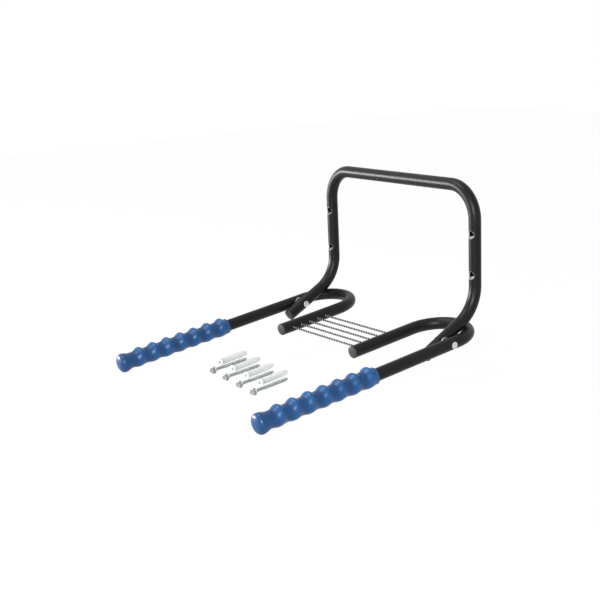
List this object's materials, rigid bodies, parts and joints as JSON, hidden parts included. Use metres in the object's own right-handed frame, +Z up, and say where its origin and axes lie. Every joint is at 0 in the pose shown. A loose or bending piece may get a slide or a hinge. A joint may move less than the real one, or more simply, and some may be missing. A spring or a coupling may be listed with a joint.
{
  "type": "folding wall bike holder",
  "caption": "Bent tube wall frame with hairpin arms that fold up on rivets, soft beaded grips that carry a bicycle's top tube, and elastic cords between the arms.",
  "frame": {"origin": "in the wall's plane, in the middle of the four screw holes", "axes": "+X to the right as seen from the room, +Y into the wall, +Z up"},
  "size_m": [0.4474, 0.4522, 0.3039],
  "materials": {
    "black_tube": "black powder coat, satin, with soft grey reflections along the tube",
    "end_plug": "dark grey moulded plastic, fine grain",
    "zinc": "bright zinc plate, slightly cloudy",
    "grip": "soft blue vinyl, glossy, darker in the valleys",
    "cord": "braided sheath in dark and light grey stripes",
    "wall_plug": "pale, slightly translucent nylon"
  },
  "bodies": {
    "frame": {"wall_frame": "black_tube", "left_leg_plug": "end_plug", "right_leg_plug": "end_plug", "left_pivot_rivet": "zinc", "right_pivot_rivet": "zinc", "left_pivot_washer": "zinc", "right_pivot_washer": "zinc", "wall_screw_1": "zinc", "wall_screw_2": "zinc", "wall_screw_3": "zinc", "wall_screw_4": "zinc", "wall_plug_1": "wall_plug", "wall_plug_2": "wall_plug", "wall_plug_3": "wall_plug", "wall_plug_4": "wall_plug"},
    "right_arm": {"right_arm_tube": "black_tube", "right_prong_plug": "end_plug", "right_grip": "grip", "elastic_cord_1": "cord", "elastic_cord_2": "cord", "elastic_cord_3": "cord", "elastic_cord_4": "cord", "elastic_cord_5": "cord"},
    "left_arm": {"left_arm_tube": "black_tube", "left_prong_plug": "end_plug", "left_grip": "grip"}
  },
  "joints": [
    {"name": "right_arm_fold", "type": "hinge", "parent": "frame", "child": "right_arm", "pos_m": [0.207, -0.085, -0.1275], "axis": [-1, 0, 0], "range_deg": [0, 107.5]},
    {"name": "left_arm_fold", "type": "hinge", "parent": "frame", "child": "left_arm", "pos_m": [-0.207, -0.085, -0.1275], "axis": [-1, 0, 0], "range_deg": [0, 107.5]}
  ],
  "couplings": [
    {"joint": "left_arm_fold", "follows": "right_arm_fold", "ratio": 1}
  ]
}
